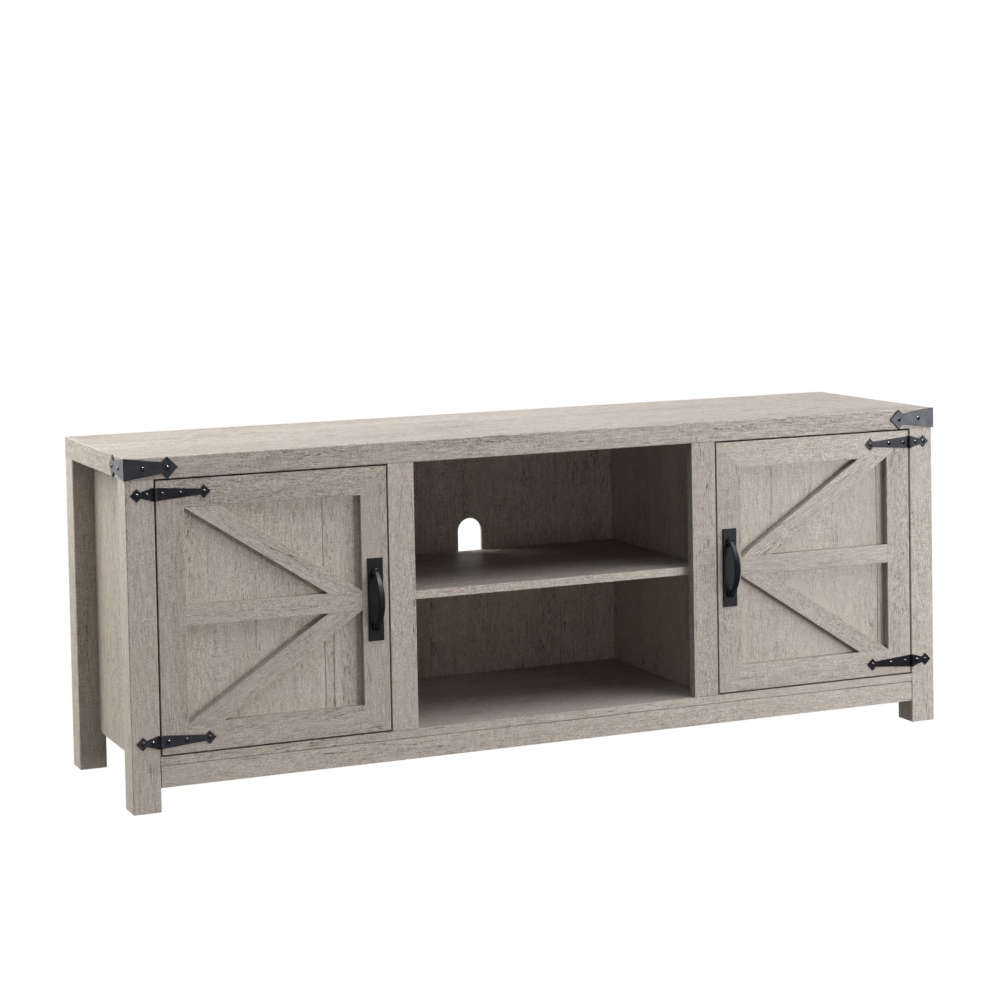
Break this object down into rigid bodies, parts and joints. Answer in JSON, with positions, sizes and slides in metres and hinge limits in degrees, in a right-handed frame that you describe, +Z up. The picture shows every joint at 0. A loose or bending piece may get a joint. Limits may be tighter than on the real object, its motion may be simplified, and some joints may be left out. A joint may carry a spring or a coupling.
{
  "type": "tv stand with doors",
  "caption": "Low television stand on square legs, with an open shelved bay between two cupboards whose framed, braced doors swing on black strap hinges.",
  "frame": {"origin": "on the floor, midway across the width and midway between the front of the door handles and the back", "axes": "+X to the right seen from the front, +Y towards the back, +Z up; the doors face -Y"},
  "size_m": [1.61, 0.4552, 0.61],
  "materials": {
    "oak_top": "matt grey oak laminate, grain along the width",
    "oak_level": "matt grey oak laminate, grain along the width",
    "oak_upright": "matt grey oak laminate, grain upright",
    "oak_brace": "matt grey oak laminate, grain along the brace",
    "black_metal": "satin black powder coat",
    "zinc_steel": "zinc plated",
    "catch_plastic": "dark brown moulded plastic",
    "dowel_wood": "plain beech"
  },
  "bodies": {
    "cabinet": {"top_panel": "oak_top", "bottom_board": "oak_level", "front_apron": "oak_level", "centre_shelf": "oak_level", "back_panel_left": "oak_upright", "back_panel_centre": "oak_upright", "back_panel_right": "oak_upright", "shelf_pins": "zinc_steel", "magnetic_catches": "catch_plastic", "frame_screws": "black_metal", "hinge_pins": "black_metal", "leg_front_left": "oak_upright", "leg_rear_left": "oak_upright", "side_panel_left": "oak_upright", "divider_left": "oak_upright", "divider_post_left": "oak_upright", "inner_shelf_left": "oak_level", "corner_bracket_left": "black_metal", "hinge_frame_leaf_upper_left": "black_metal", "hinge_frame_leaf_lower_left": "black_metal", "leg_front_right": "oak_upright", "leg_rear_right": "oak_upright", "side_panel_right": "oak_upright", "divider_right": "oak_upright", "divider_post_right": "oak_upright", "inner_shelf_right": "oak_level", "corner_bracket_right": "black_metal", "hinge_frame_leaf_upper_right": "black_metal", "hinge_frame_leaf_lower_right": "black_metal", "cabinet_dowels": "dowel_wood", "cam_fasteners": "zinc_steel", "back_screws": "zinc_steel"},
    "left_door": {"left_door_panel": "oak_upright", "left_door_hinge_stile": "oak_upright", "left_door_pull_stile": "oak_upright", "left_door_top_rail": "oak_level", "left_door_bottom_rail": "oak_level", "left_door_middle_rail": "oak_level", "left_door_upper_brace": "oak_brace", "left_door_lower_brace": "oak_brace", "left_catch_strike": "zinc_steel", "left_handle_plate": "black_metal", "left_handle_pull": "black_metal", "left_door_screws": "black_metal", "hinge_door_leaf_upper_left": "black_metal", "hinge_door_leaf_lower_left": "black_metal"},
    "right_door": {"right_door_panel": "oak_upright", "right_door_hinge_stile": "oak_upright", "right_door_pull_stile": "oak_upright", "right_door_top_rail": "oak_level", "right_door_bottom_rail": "oak_level", "right_door_middle_rail": "oak_level", "right_door_upper_brace": "oak_brace", "right_door_lower_brace": "oak_brace", "right_catch_strike": "zinc_steel", "right_handle_plate": "black_metal", "right_handle_pull": "black_metal", "right_door_screws": "black_metal", "hinge_door_leaf_upper_right": "black_metal", "hinge_door_leaf_lower_right": "black_metal"}
  },
  "joints": [
    {"name": "left_door_hinge", "type": "hinge", "parent": "cabinet", "child": "left_door", "pos_m": [-0.7485, -0.1965, 0.3335], "axis": [0, 0, -1], "range_deg": [0, 160]},
    {"name": "right_door_hinge", "type": "hinge", "parent": "cabinet", "child": "right_door", "pos_m": [0.7485, -0.1965, 0.3335], "axis": [0, 0, 1], "range_deg": [0, 160]}
  ]
}
